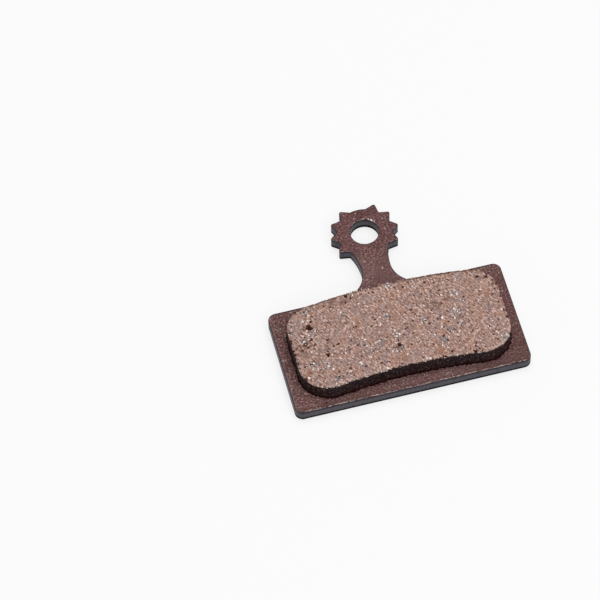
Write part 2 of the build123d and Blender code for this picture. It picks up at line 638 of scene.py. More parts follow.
@dataclass(frozen=True)
class FrictionCompound:
    """Ground granular compound on the face, dark moulded skin on the walls."""

    ground: tuple[Colour, ...] = (shade(86, 60, 53), shade(169, 134, 123), shade(240, 214, 203))
    cool: Colour = shade(140, 114, 110)
    warm: Colour = shade(186, 147, 131)
    clay: Colour = shade(178, 132, 108)
    ash: Colour = shade(154, 133, 129)
    speck: Colour = shade(76, 49, 39)
    powder: Colour = shade(208, 184, 174)
    rust: Colour = shade(158, 110, 82)
    umber: Colour = shade(112, 82, 70)
    graphite: Colour = shade(134, 125, 124)
    # Painted shade in the hollows of the face, darker the deeper they are
    hollow: tuple[Colour, Colour] = (shade(112, 74, 58), shade(52, 30, 22))
    # Paler low on the walls: painted light against the shade near the plate
    skin: tuple[Colour, ...] = (shade(49, 29, 27), shade(36, 21, 21))
    # Painted contact shadow: dark red at the foot of the walls
    foot: Colour = shade(36, 6, 4)
    pale_skin: Colour = shade(122, 96, 89)
    sooty_skin: Colour = shade(20, 9, 9)
    inky: Colour = shade(43, 31, 40)
    mossy: Colour = shade(50, 36, 28)
    # Dust of two sizes, the coarse one drawn out along the grinding
    grind_angle: float = 121.0
    coarse: Waves = (5.0, 1.5)
    coarse_length: float = 2.5
    coarse_share: float = 0.58
    fine: Waves = (6.0, 1.5)
    fine_share: float = 0.37
    dust_lift: float = 0.025
    dust_middle: float = 0.5
    lively: Waves = (0.4, 2.0)
    lively_share: Span = (0.38, 0.62, 0.82, 1.12)
    grain_depth: float = 0.06
    roughness: Span = (0.0, 1.0, 0.85, 0.6)
    gloss: float = 0.1
    # The ground face
    dust_stops: Stops = (0.35, 0.5, 0.65)
    patch: Waves = (1.2, 4.0)
    warm_patch: Span = (0.48, 0.7, 0.0, 0.45)
    cool_patch: Span = (0.5, 0.3, 0.0, 0.5)
    tint: Waves = (0.85, 2.5)
    clay_tint: Span = (0.5, 0.68, 0.0, 0.36)
    ash_tint: Span = (0.5, 0.34, 0.0, 0.5)
    specks_per_mm: float = 2.6
    speck_length: float = 1.3
    dark_speck: tuple[Span, ...] = ((0.44, 0.22), (0.76, 0.84), (0.0, 1.0, 0.25, 1.0))
    powder_rim: Span = (0.15, 0.4, 0.0, 0.18)
    powder_front: Span = (-20.6, -21.3)
    stain: Waves = (2.4, 3.0)
    stain_share: Span = (0.34, 0.56, 0.0, 0.8)
    dim: Waves = (1.8, 3.0)
    dim_share: Span = (0.35, 0.65, 0.15, 0.75)
    soot_per_mm: float = 4.5
    soot_share: Span = (0.1, 0.7)
    pit_share: Span = (0.02, 0.3)
    # The moulded skin
    cloud: Waves = (2.4, 4.0)
    cloud_height: float = 0.5
    skin_heights: Span = (1.9, 3.9)
    skin_stops: Stops = (0.14, 0.7)
    skin_tint: Waves = (0.45, 3.0)
    cold_rise: Span = (2.0, 4.0, 0.0, 0.07)
    cold_fall: Span = (9.5, 8.0)
    inky_tint: Span = (0.48, 0.6, 0.0, 0.7)
    mossy_tint: Span = (0.46, 0.36, 0.0, 0.8)
    skin_grain: Waves = (4.2, 2.5)
    sooty_grain: Span = (0.5, 0.36)
    pale_grain: Span = (0.53, 0.72, 0.0, 0.7)
    pale_heights: Span = (1.75, 2.3)
    foot_heights: Span = (2.28, 2.08)

    def make(self) -> bpy.types.Material:
        """Makes the finish.

        Returns:
            The material, which reads what the block's mesh says of hollows, stains, graphite, rim and skin.
        """
        bench = NodeBench("friction_compound")
        coarse = bench.noise(*self.coarse, bench.streaked(self.grind_angle, self.coarse_length))
        fine = bench.times(bench.noise(*self.fine), self.fine_share)
        dust = bench.math("ADD", bench.times(coarse, self.coarse_share), fine)
        dust = bench.math("ADD", dust, self.dust_lift)
        lively = bench.fade(bench.noise(*self.lively), *self.lively_share)
        swing = bench.times(bench.math("SUBTRACT", dust, self.dust_middle), lively)
        dust = bench.math("ADD", swing, self.dust_middle)
        moulded = bench.attribute("skin")
        bench.bump(dust, self.grain_depth)
        return bench.surface(
            Base_Color=bench.blend(moulded, self.ground_colour(bench, dust), self.skin_colour(bench)),
            Roughness=bench.fade(moulded, *self.roughness),
            Specular_IOR_Level=self.gloss,
        )

    def ground_colour(self, bench: NodeBench, dust: Socket) -> Socket:
        """Colours the ground face: dust, warm and cool patches, specks, stains, graphite, and painted shade
        in the hollows and inside the far rim.

        Args:
            bench: The material's nodes.
            dust: The streaky noise that also roughens the face.

        Returns:
            The face's colour.
        """
        patch = bench.noise(*self.patch)
        tint = bench.noise(*self.tint)
        cell = bench.cells(self.specks_per_mm, bench.streaked(self.grind_angle, self.speck_length))
        _, tone, _ = bench.cells(self.soot_per_mm)
        stained = bench.fade(bench.noise(*self.stain), *self.stain_share)
        dimmed = bench.fade(bench.noise(*self.dim), *self.dim_share)
        deep = bench.attribute("hollow")
        powdered = bench.zone((bench.attribute("rim"), self.powder_rim), (bench.along, self.powder_front))
        return bench.coats(
            bench.ramp(dust, self.dust_stops, self.ground),
            (bench.fade(patch, *self.warm_patch), self.warm),
            (bench.fade(patch, *self.cool_patch), self.cool),
            (bench.fade(tint, *self.clay_tint), self.clay),
            (bench.fade(tint, *self.ash_tint), self.ash),
            (bench.zone(*zip(cell, self.dark_speck)), self.speck),
            (powdered, self.powder),
            (bench.times(bench.attribute("rust"), stained), self.rust),
            # Dim patches, and painted shade inside the far rim
            (bench.times(bench.attribute("umber"), dimmed), self.umber),
            (bench.times(bench.attribute("graphite"), bench.fade(tone, *self.soot_share)), self.graphite),
            # Painted shade in the hollows
            (bench.fade(deep, *self.pit_share), bench.blend(deep, *self.hollow)),
        )

    def skin_colour(self, bench: NodeBench) -> Socket:
        """Colours the moulded skin: paler low down as painted light against the shade near the plate,
        speckled, with a dark red painted contact shadow at its foot.

        Args:
            bench: The material's nodes.

        Returns:
            The skin's colour.
        """
        cloud = bench.times(bench.noise(*self.cloud), self.cloud_height)
        rise = bench.math("ADD", bench.height, cloud)
        # Paler low down: painted light
        skin = bench.ramp(bench.fade(rise, *self.skin_heights), self.skin_stops, self.skin)
        cold = bench.zone((bench.across, self.cold_rise), (bench.across, self.cold_fall))
        tint = bench.math("ADD", bench.noise(*self.skin_tint), cold)
        skin = bench.blend(bench.fade(tint, *self.inky_tint), skin, self.inky, "COLOR")
        skin = bench.blend(bench.fade(tint, *self.mossy_tint), skin, self.mossy, "COLOR")
        grain = bench.noise(*self.skin_grain)
        return bench.coats(
            skin,
            (bench.fade(grain, *self.sooty_grain), self.sooty_skin),
            (bench.zone((grain, self.pale_grain), (bench.height, self.pale_heights)), self.pale_skin),
            # Painted contact shadow at the foot
            (bench.fade(rise, *self.foot_heights), self.foot),
        )


@dataclass(frozen=True)
class FleckMetal:
    """Bright and grey metal of the chips and fibres in the compound."""

    soot: Colour = shade(50, 44, 45)
    grey: Colour = shade(152, 146, 150)
    bronze: Colour = shade(228, 212, 206)
    silver: Colour = shade(255, 250, 248)
    blush: Colour = shade(255, 236, 229)
    tones: Stops = (0.0, 0.3, 0.6, 0.85)
    scratch: Waves = (14.0, 2.0)
    scratch_share: Span = (0.6, 0.85, 0.0, 0.25)
    scratch_depth: float = 0.01
    roughness: Span = (0.3, 0.7, 0.25, 0.45)
    metallic: float = 0.15

    def make(self) -> bpy.types.Material:
        """Makes the finish.

        Returns:
            The material, which reads how bright and how warm each fleck is.
        """
        bench = NodeBench("fleck_metal")
        scratch = bench.noise(*self.scratch)
        colours = (self.soot, self.grey, self.bronze, self.silver)
        metal = bench.ramp(bench.attribute("tone"), self.tones, colours)
        metal = bench.blend(bench.attribute("warmth"), metal, self.blush, "MULTIPLY")
        bench.bump(scratch, self.scratch_depth)
        return bench.surface(
            Base_Color=bench.blend(bench.fade(scratch, *self.scratch_share), metal, self.grey),
            Metallic=self.metallic,
            Roughness=bench.fade(scratch, *self.roughness),
        )


@dataclass(frozen=True)
class CrumbDust:
    """Pale crumbs that break off the compound."""

    dull: Colour = shade(174, 140, 127)
    pale: Colour = shade(255, 240, 232)
    grain: Waves = (12.0, 2.0)
    grain_share: Span = (0.45, 0.8, 0.0, 0.5)
    grain_depth: float = 0.02
    roughness: Span = (0.3, 0.7, 0.7, 0.9)

    def make(self) -> bpy.types.Material:
        """Makes the finish.

        Returns:
            The material, which reads how pale each crumb is.
        """
        bench = NodeBench("crumb_dust")
        grain = bench.noise(*self.grain)
        colour = bench.blend(bench.attribute("tone"), self.dull, self.pale)
        bench.bump(grain, self.grain_depth)
        return bench.surface(
            Base_Color=bench.blend(bench.fade(grain, *self.grain_share), colour, self.dull),
            Roughness=bench.fade(grain, *self.roughness),
        )


@dataclass(frozen=True)
class PaleFloor:
    """Matt white table that shows white to the camera and keeps the pad's shadow."""

    paper: tuple[Colour, Colour] = ((0.8, 0.8, 0.8), (0.78, 0.78, 0.78))
    fibre: Waves = (0.08, 2.0)
    shown: Colour = (0.24, 0.24, 0.24)
    glow: float = 0.752

    def make(self) -> bpy.types.Material:
        """Makes the finish.

        Returns:
            The material of the floor.
        """
        bench = NodeBench("pale_floor")
        nodes, links = bench.tree.nodes, bench.tree.links
        fibre = bench.noise(*self.fibre)
        paper = bench.node("ShaderNodeBsdfDiffuse", Color=bench.blend(fibre, *self.paper))
        shown = bench.node("ShaderNodeBsdfDiffuse", Color=self.shown)
        glow = bench.node("ShaderNodeEmission", Strength=self.glow)
        lit = nodes.new("ShaderNodeAddShader")
        links.new(shown.outputs[0], lit.inputs[0])
        links.new(glow.outputs[0], lit.inputs[1])
        path = nodes.new("ShaderNodeLightPath")
        seen = bench.math("MAXIMUM", path.outputs["Is Camera Ray"], path.outputs["Is Glossy Ray"])
        seen = bench.math("MAXIMUM", seen, path.outputs["Is Transmission Ray"])
        mix = nodes.new("ShaderNodeMixShader")
        for index, feed in enumerate((seen, paper.outputs[0], lit.outputs[0])):
            links.new(feed, mix.inputs[index])
        links.new(mix.outputs[0], nodes["Material Output"].inputs["Surface"])
        nodes.remove(bench.shader)
        return bench.material


@dataclass(frozen=True)
class Pore:
    """A hollow in the friction face: its middle, radius and depth in millimetres."""

    x: float
    y: float
    radius: float
    depth: float


@dataclass(frozen=True)
class Patch:
    """A stained or metallic place on the friction face: its middle and radius in millimetres."""

    x: float
    y: float
    radius: float


@dataclass(frozen=True)
class Run:
    """A run of crumbs on the rim: the place it is nearest to in millimetres, and how many there are."""

    x: float
    y: float
    count: int


SILVER_CLUSTERS = (
    Patch(-10.5, -11.1, 0.55),
    Patch(-11.1, -12.3, 0.35),
    Patch(-12.9, -13.6, 0.35),
    Patch(-10.5, -14.6, 0.55),
    Patch(-11.8, -15.1, 0.50),
    Patch(-11.0, -17.0, 0.35),
    Patch(-10.2, -18.4, 0.35),
    Patch(-11.4, -18.9, 0.50),
    Patch(-9.9, -19.5, 0.50),
    Patch(-9.0, -21.5, 0.50),
    Patch(-6.3, -12.4, 0.40),
    Patch(-4.5, -9.9, 0.40),
    Patch(-4.3, -18.7, 0.60),
    Patch(-4.8, -17.4, 0.35),
    Patch(-5.9, -20.0, 0.35),
    Patch(-2.8, -17.7, 0.60),
    Patch(-1.0, -14.2, 0.40),
    Patch(-0.5, -17.3, 0.55),
    Patch(-0.6, -18.9, 0.60),
    Patch(0.2, -10.1, 0.50),
    Patch(3.4, -16.0, 0.40),
    Patch(4.9, -19.4, 0.55),
    Patch(6.3, -18.2, 0.35),
    Patch(7.4, -17.7, 0.40),
    Patch(7.5, -15.9, 0.80),
    Patch(8.0, -13.2, 0.45),
    Patch(8.5, -11.1, 0.30),
    Patch(12.0, -21.1, 0.55),
)

RUST_STAINS = (
    Patch(-0.2, -13.6, 0.65),
    Patch(-0.5, -14.8, 0.45),
    Patch(0.6, -11.6, 0.50),
    Patch(1.8, -10.6, 0.65),
    Patch(-0.7, -20.6, 0.80),
    Patch(4.1, -20.7, 0.75),
    Patch(-9.8, -11.6, 0.60),
    Patch(-12.4, -19.8, 0.60),
    Patch(-4.6, -14.4, 0.45),
    Patch(9.4, -16.5, 0.40),
    Patch(11.8, -14.4, 0.55),
)

DIM_PATCHES = (
    Patch(-12.0, -15.7, 1.10),
    Patch(-12.1, -17.0, 0.90),
    Patch(-7.2, -10.7, 1.00),
    Patch(-5.6, -10.8, 0.90),
    Patch(5.2, -14.2, 1.10),
    Patch(7.0, -13.6, 0.90),
)

NOTED_CHIPS = (
    Patch(5.5, -16.3, 0.25),
    Patch(4.5, -15.2, 0.16),
    Patch(5.1, -17.6, 0.20),
    Patch(8.2, -13.4, 0.18),
    Patch(10.6, -19.0, 0.15),
    Patch(12.9, -17.1, 0.17),
    Patch(-0.2, -17.2, 0.17),
    Patch(-2.1, -15.3, 0.19),
    Patch(0.0, -20.3, 0.14),
    Patch(0.4, -19.6, 0.14),
    Patch(-3.9, -11.6, 0.16),
    Patch(-0.8, -11.7, 0.14),
    Patch(-9.8, -19.4, 0.20),
    Patch(-9.3, -19.9, 0.14),
    Patch(-11.8, -15.2, 0.18),
    Patch(-7.7, -17.3, 0.14),
    Patch(-2.9, -21.6, 0.20),
    Patch(1.6, -21.6, 0.12),
    Patch(2.1, -21.5, 0.17),
    Patch(2.5, -21.6, 0.18),
)

RIM_RUNS = (
    Run(-12.6, -21.1, 5),
    Run(-10.3, -22.0, 6),
    Run(-8.7, -22.3, 6),
    Run(-5.8, -21.8, 6),
    Run(-4.0, -21.8, 5),
    Run(-2.9, -21.7, 5),
    Run(2.1, -21.6, 10),
    Run(5.7, -21.9, 5),
    Run(8.9, -22.3, 5),
    Run(12.0, -21.6, 5),
    Run(13.2, -18.9, 4),
    Run(2.8, -9.6, 8),
    Run(-4.3, -9.7, 6),
)

NOTED_PORES = (
    Pore(-10.7, -13.4, 0.42, 0.20),
    Pore(-10.3, -12.6, 0.20, 0.11),
    Pore(-12.6, -12.0, 0.15, 0.08),
    Pore(-11.7, -15.6, 0.45, 0.07),
    Pore(-12.3, -16.4, 0.30, 0.07),
    Pore(-11.8, -17.5, 0.14, 0.08),
    Pore(-8.3, -13.2, 0.14, 0.08),
    Pore(-8.9, -15.7, 0.17, 0.11),
    Pore(-7.9, -16.6, 0.17, 0.10),
    Pore(-9.4, -17.8, 0.28, 0.18),
    Pore(-8.6, -17.8, 0.15, 0.08),
    Pore(-5.4, -14.9, 0.17, 0.12),
    Pore(-5.4, -20.6, 0.16, 0.09),
    Pore(-7.1, -21.5, 0.14, 0.09),
    Pore(-5.2, -10.1, 0.20, 0.18),
    Pore(-6.1, -10.8, 0.17, 0.09),
    Pore(-5.4, -11.1, 0.20, 0.08),
    Pore(-7.2, -10.6, 0.40, 0.05),
    Pore(-3.4, -20.7, 0.15, 0.09),
    Pore(-1.0, -21.4, 0.15, 0.09),
    Pore(-0.6, -18.7, 0.28, 0.14),
    Pore(1.3, -14.3, 0.15, 0.10),
    Pore(2.1, -14.2, 0.17, 0.11),
    Pore(2.2, -14.6, 0.13, 0.09),
    Pore(2.4, -14.9, 0.15, 0.10),
    Pore(2.0, -10.7, 0.20, 0.10),
    Pore(3.4, -16.2, 0.16, 0.10),
    Pore(3.4, -19.7, 0.20, 0.09),
    Pore(4.3, -21.8, 0.28, 0.15),
    Pore(4.9, -19.0, 0.15, 0.10),
    Pore(5.3, -19.6, 0.16, 0.10),
    Pore(6.0, -18.4, 0.15, 0.10),
    Pore(8.1, -22.1, 0.30, 0.15),
    Pore(8.4, -21.4, 0.15, 0.09),
    Pore(9.3, -16.5, 0.17, 0.07),
    Pore(11.0, -13.7, 0.17, 0.12),
    Pore(11.3, -11.6, 0.22, 0.12),
    Pore(12.4, -11.9, 0.24, 0.12),
)


def lone_chips(count: int = 24, sizes: Odds = (0.11, 0.20, 0.14), seed: int = 53) -> tuple[Patch, ...]:
    """Lists the bright chips that lie alone: the noted ones, and more that chance strews over the face.

    Args:
        count: How many are left to chance.
        sizes: The odds of their radius in millimetres.
        seed: The seed of that chance.

    Returns:
        All of them, the same at every call.
    """
    draw = random.Random(seed)
    low, high = (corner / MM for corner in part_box("friction_block"))
    strewn = []
    for _ in range(count):
        spot = draw.uniform(low.x, high.x), draw.uniform(low.y, high.y)
        strewn.append(Patch(*spot, draw.triangular(*sizes)))
    return NOTED_CHIPS + tuple(strewn)


class MarkMap:
    """Finds the marks round a place on the face."""

    rags: Rags = ((0.7, 4.5), (0.3, 11.0))
    # How many radii from the widest mark's middle are searched
    spread: float = 2.0

    def __init__(self, marks: tuple[Pore | Patch, ...]) -> None:
        """Sorts marks by place.

        Args:
            marks: The marks on the face.
        """
        self.marks = marks
        self.reach = max(mark.radius for mark in marks) * self.spread
        self.tree = KDTree(len(marks))
        for index, mark in enumerate(marks):
            self.tree.insert((mark.x, mark.y, 0), index)
        self.tree.balance()

    def near(self, spot: Vector) -> list[tuple[Pore | Patch, float]]:
        """Lists the marks whose ragged outline holds a place.

        Args:
            spot: The place in millimetres.

        Returns:
            Each mark with a share, from 0 at its outline to 1 in its middle.
        """
        flat = Vector((spot.x, spot.y, 0))
        ragged = 1 + rugged(flat, self.rags)
        found = []
        for _, index, distance in self.tree.find_range(flat, self.reach):
            share = 1 - distance * ragged / self.marks[index].radius
            if share > 0:
                found.append((self.marks[index], share))
        return found

    def strength(self, spot: Vector, full: float) -> float:
        """Gives how strongly the marks show at a place, fully from a share on."""
        return max((smooth(share, 0.0, full) for _, share in self.near(spot)), default=0.0)


class Brink:
    """The rim of the friction face, and which way it looks."""

    # How far below the face it reaches, the upward part of its normals, and where it looks near and far
    band: float = 0.2
    slope: Range = (0.3, 0.85)
    near_heading: Span = (0.7, 0.97)
    far_heading: Span = (0.6, 0.95)

    def __init__(self, work: bmesh.types.BMesh, top: float) -> None:
        """Finds the rim.

        Args:
            work: The block's mesh in millimetres.
            top: The height of the face.
        """
        low, high = self.slope
        edge = [vert for vert in work.verts if vert.co.z > top - self.band and low < vert.normal.z < high]
        headings = [vert.normal.xy.normalized().y for vert in edge]
        self.points = [vert.co.xy for vert in edge]
        self.nearness = [smooth(-heading, *self.near_heading) for heading in headings]
        self.farness = [smooth(heading, *self.far_heading) for heading in headings]
        self.tree = KDTree(len(edge))
        for index, point in enumerate(self.points):
            self.tree.insert((*point, 0), index)
        self.tree.balance()

    def look(self, spot: Vector) -> tuple[float, float, float]:
        """Looks from a place to the rim.

        Args:
            spot: The place in millimetres.

        Returns:
            The way to the rim, and how much the rim there looks to the lower edge and to the upper edge.
        """
        _, index, gap = self.tree.find((spot.x, spot.y, 0))
        return gap, self.nearness[index], self.farness[index]


@dataclass(frozen=True)
class FaceMap:
    """What lies where on the friction face."""

    top: float
    brink: Brink
    pores: MarkMap
    rust: MarkMap
    dim: MarkMap
    silver: MarkMap


@dataclass
class BackingPlate:
    """The blanked steel plate, which keeps its own solid."""

    finish: CoatedSteel = field(default_factory=CoatedSteel)

    def dress(self, plate: bpy.types.Object) -> None:
        """Puts the finish on the plate's solid.

        Args:
            plate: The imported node's object.
        """
        plate.data.materials.clear()
        plate.data.materials.append(self.finish.make())


@dataclass
class FrictionBlock:
    """The moulded block with its two plugs, its face ground and its rim crumbling.

    Depths are millimetres below the face, and slopes are the upward part of a normal.
    """

    voxel: float = 0.095
    weld: float = 0.0005
    plate_face: float = 1.6
    finish: FrictionCompound = field(default_factory=FrictionCompound)
    # Grain of the face
    grain_size: float = 0.3
    grain_height: float = 0.03
    grain_edge: float = 2.0
    grain_shuffle: float = 9.0
    grain_dust: tuple[float, float] = (0.4, 1.7)
    # Pores, chips and the scratch
    seed: int = 41
    small_pores: int = 200
    left_share: float = 0.34
    left_width: float = 3.0
    pore_radius: Range = (0.08, 0.18)
    pore_depth: Range = (0.03, 0.13)
    rim_chips: int = 90
    rim_chip_radius: Range = (0.08, 0.28)
    # A hollow beside each lone chip, painted dark as the chip's shadow
    chip_shadow_pore_gap: float = 1.3
    chip_shadow_pore_size: float = 0.7
    chip_shadow_pore_depth: Range = (0.05, 0.11)
    scratch: tuple[Vector, Vector] = (Vector((6.0, -12.0)), Vector((7.7, -14.7)))
    scratch_steps: int = 40
    scratch_radius: float = 0.085
    scratch_depth: float = 0.045
    # The face and its rim
    layers: tuple[str, ...] = ("hollow", "skin", "rim", "rust", "umber", "graphite")
    face_depth: float = 0.45
    level_depths: Span = (0.45, 0.12)
    bare_depths: Span = (0.055, 0.004)
    worn_depths: Span = (0.2, 0.1)
    skin_band: Span = (0.04, 0.13)
    skin_wobble: Rags = ((0.05, 4.0),)
    rim_reach: float = 0.6
    pore_slope: float = 2.2
    hollow_depths: Span = (0.02, 0.15)
    rust_full: float = 0.6
    dim_full: float = 0.8
    silver_full: float = 0.5
    fringe_reach: Span = (0.1, 0.34)
    fringe_wobble: Rags = ((0.12, 2.2),)
    fringe_strength: float = 2.2
    far_lip: float = 0.055
    far_lip_reach: Span = (0.05, 0.3)
    # The walls, the foot and the plugs' ends
    wall_start: float = 0.01
    wall_slope: float = 0.7
    wall_relief: float = 0.02
    relief_rags: Rags = ((1.0, 1.4), (0.5, 4.2))
    flash_reach: float = 0.2
    flash_heights: Span = (0.03, 0.22)
    flash_base: float = 0.42
    flash_rags: Rags = ((0.8, 0.9), (0.9, 3.2))
    plug_band: float = 0.05
    plug_slope: float = -0.5
    plug_skin: float = 0.55
    hidden_slope: float = -0.9
    hidden_rise: float = 1.0

    def build(self, solid: bpy.types.Object) -> bpy.types.Object:
        """Builds the block over its solid.

        Args:
            solid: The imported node's object.

        Returns:
            The dressed block.
        """
        piece = self.evenly_meshed(solid)
        work = bmesh.new()
        work.from_mesh(piece.data)
        self.roughen(work)
        self.thin_hidden_faces(work)
        bmesh.ops.transform(work, matrix=Matrix.Scale(MM, 4), verts=work.verts)
        work.to_mesh(piece.data)
        work.free()
        piece.data.shade_smooth()
        piece.data.materials.append(self.finish.make())
        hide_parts(solid.name)
        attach(piece, BODY)
        return piece

    def evenly_meshed(self, solid: bpy.types.Object) -> bpy.types.Object:
        """Covers a copy of the solid with an even mesh, in millimetres.

        Args:
            solid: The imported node's object.

        Returns:
            A new object that holds the mesh.
        """
        mesh = solid.data.copy()
        mesh.transform(Matrix.Scale(1 / MM, 4))
        work = bmesh.new()
        work.from_mesh(mesh)
        bmesh.ops.remove_doubles(work, verts=work.verts, dist=self.weld)
        work.to_mesh(mesh)
        work.free()
        mesh.materials.clear()
        piece = bpy.data.objects.new("friction_block_cast", mesh)
        bpy.context.scene.collection.objects.link(piece)
        remesh = piece.modifiers.new("even", "REMESH")
        remesh.mode = "VOXEL"
        remesh.voxel_size = self.voxel
        graph = bpy.context.evaluated_depsgraph_get()
        even = bpy.data.meshes.new_from_object(piece.evaluated_get(graph))
        piece.modifiers.clear()
        piece.data = even
        bpy.data.meshes.remove(mesh)
        return piece

    def roughen(self, work: bmesh.types.BMesh) -> None:
        """Gives the face its grain and pores, the rim its chips, the walls relief and the foot its flash.

        Args:
            work: The block's mesh in millimetres, changed in place.
        """
        work.normal_update()
        heights = [vert.co.z for vert in work.verts]
        top, floor = max(heights), min(heights)
        brink = Brink(work, top)
        pores = MarkMap(self.scatter_pores(brink.points))
        stains = (MarkMap(marks) for marks in (RUST_STAINS, DIM_PATCHES, SILVER_CLUSTERS))
        face = FaceMap(top, brink, pores, *stains)
        layers = {name: work.verts.layers.float.new(name) for name in self.layers}
        for vert in work.verts:
            spot, normal = vert.co.copy(), vert.normal.copy()
            vert[layers["skin"]] = 1.0
            if top - spot.z < self.face_depth:
                self.work_face(vert, face, layers)
            if spot.z > self.plate_face + self.wall_start and normal.z < self.wall_slope:
                vert.co += normal * self.wall_shift(spot)
            elif spot.z < floor + self.plug_band and normal.z < self.plug_slope:
                vert.co.z += self.grain(spot)
                vert[layers["skin"]] = self.plug_skin

    def work_face(
        self, vert: bmesh.types.BMVert, face: FaceMap, layers: dict[str, bmesh.types.BMLayerItem]
    ) -> None:
        """Moves one vertex of the face or rim, and notes on it what the finish reads.

        Args:
            vert: The vertex, changed in place.
            face: What lies where on the face.
            layers: The mesh's layers by name.
        """
        spot, upright = vert.co.copy(), max(0.0, vert.normal.z)
        depth = face.top - spot.z
        gap, near, far = face.brink.look(spot)
        wobble = rugged(spot, self.skin_wobble)
        bare = smooth(depth, *self.bare_depths) * smooth(gap + wobble, *self.skin_band)
        worn = smooth(depth - wobble, *self.worn_depths)
        level = smooth(depth, *self.level_depths)
        hollows = [pore.depth * min(1.0, self.pore_slope * share) for pore, share in face.pores.near(spot)]
        sunk = max(hollows, default=0.0)
        # Painted shade: a brown band inside the far rim, which the finish draws with the dim patches
        fringe = gap + rugged(spot, self.fringe_wobble)
        brown = self.fringe_strength * far * (1 - smooth(fringe, *self.fringe_reach))
        notes = {
            # How deep the hollow is; the finish paints shade in it by that
            "hollow": smooth(sunk, *self.hollow_depths),
            "skin": 1 - worn - near * (bare - worn),
            "rim": max(0.0, 1 - gap / self.rim_reach),
            "rust": face.rust.strength(spot, self.rust_full),
            "umber": max(face.dim.strength(spot, self.dim_full), brown),
            "graphite": face.silver.strength(spot, self.silver_full),
        }
        for name, value in notes.items():
            vert[layers[name]] = value
        vert.co.z += level * (self.grain(spot) * upright - sunk)
        vert.co.y += self.far_lip * level * far * (1 - smooth(gap, *self.far_lip_reach))

    def scatter_pores(self, rim: list[Vector]) -> tuple[Pore, ...]:
        """Scatters pores over the face, chips along its rim, a hollow beside each lone chip as its painted
        shadow, and the scratch.

        Args:
            rim: Points along the rim.

        Returns:
            All hollows, the noted ones among them.
        """
        draw = random.Random(self.seed)
        reach = [(min(point[i] for point in rim), max(point[i] for point in rim)) for i in (0, 1)]
        left, right = reach[0]
        pores = list(NOTED_PORES)
        for _ in range(self.small_pores):
            end = left + self.left_width if draw.random() < self.left_share else right
            place = draw.uniform(left, end), draw.uniform(*reach[1])
            pores.append(Pore(*place, draw.uniform(*self.pore_radius), draw.uniform(*self.pore_depth)))
        for _ in range(self.rim_chips):
            place = draw.choice(rim)
            pores.append(Pore(*place, draw.uniform(*self.rim_chip_radius), draw.uniform(*self.pore_depth)))
        # A hollow beside each lone chip, painted dark as its shadow
        for chip in lone_chips():
            bearing, gap = draw.uniform(0, math.tau), self.chip_shadow_pore_gap * chip.radius
            place = chip.x + gap * math.cos(bearing), chip.y + gap * math.sin(bearing)
            pores.append(Pore(*place, self.chip_shadow_pore_size * chip.radius, draw.uniform(*self.chip_shadow_pore_depth)))
        start, end = self.scratch
        for step in range(self.scratch_steps):
            place = start.lerp(end, step / (self.scratch_steps - 1))
            pores.append(Pore(*place, self.scratch_radius, self.scratch_depth))
        return tuple(pores)

    def grain(self, spot: Vector) -> float:
        """Gives the height of the ground grain at a place on the face.

        Args:
            spot: The place in millimetres.

        Returns:
            The height in millimetres.
        """
        cell = Vector((spot.x, spot.y, 0)) / self.grain_size
        distances, middles = noise.voronoi(cell)
        edge = min(1.0, self.grain_edge * (distances[1] - distances[0]))
        share, waves = self.grain_dust
        lump = edge * noise.cell(middles[0] * self.grain_shuffle)
        return self.grain_height * (lump + share * noise.noise(cell * waves))

    def wall_shift(self, spot: Vector) -> float:
        """Gives how far a wall's place moves outwards: soft relief, and ragged flash at the foot.

        Args:
            spot: The place in millimetres.

        Returns:
            The way along the normal in millimetres.
        """
        relief = self.wall_relief * rugged(spot, self.relief_rags)
        foot = 1 - smooth(spot.z - self.plate_face, *self.flash_heights)
        ragged = self.flash_base + rugged(Vector((spot.x, spot.y, 0)), self.flash_rags)
        return relief + self.flash_reach * foot * max(0.0, ragged)

    def thin_hidden_faces(self, work: bmesh.types.BMesh) -> None:
        """Fills the flat underside, which the plate hides, with few large faces.

        Args:
            work: The block's mesh in millimetres, changed in place.
        """
        work.normal_update()
        lowest = min(vert.co.z for vert in work.verts) + self.hidden_rise
        downward = [face for face in work.faces if face.normal.z < self.hidden_slope]
        hidden = [face for face in downward if face.calc_center_median().z > lowest]
        bmesh.ops.delete(work, geom=hidden, context="FACES")
        brim = [edge for edge in work.edges if edge.is_boundary]
        bmesh.ops.triangle_fill(work, use_beauty=True, edges=brim, normal=DOWN)


class FleckForm(Enum):
    """The two forms of metal in the compound."""

    CHIP = "chip"
    FIBRE = "fibre"


@dataclass(frozen=True)
class Fleck:
    """A bit of metal in the face: its place and size in millimetres, how bright and how warm it is."""

    x: float
    y: float
    form: FleckForm
    size: float
    tone: float
    warmth: float


def loose_piece(name: str, work: bmesh.types.BMesh, finish: bpy.types.Material) -> bpy.types.Object:
    """Makes a piece of the compound from a mesh in metres, and lets it ride with the pad.

    Args:
        name: The piece's name.
        work: Its mesh, which is freed.
        finish: Its material.

    Returns:
        The new object.
    """
    mesh = bpy.data.meshes.new(name)
    work.to_mesh(mesh)
    work.free()
    mesh.materials.append(finish)
    piece = bpy.data.objects.new(name, mesh)
    bpy.context.scene.collection.objects.link(piece)
    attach(piece, BODY)
    return piece


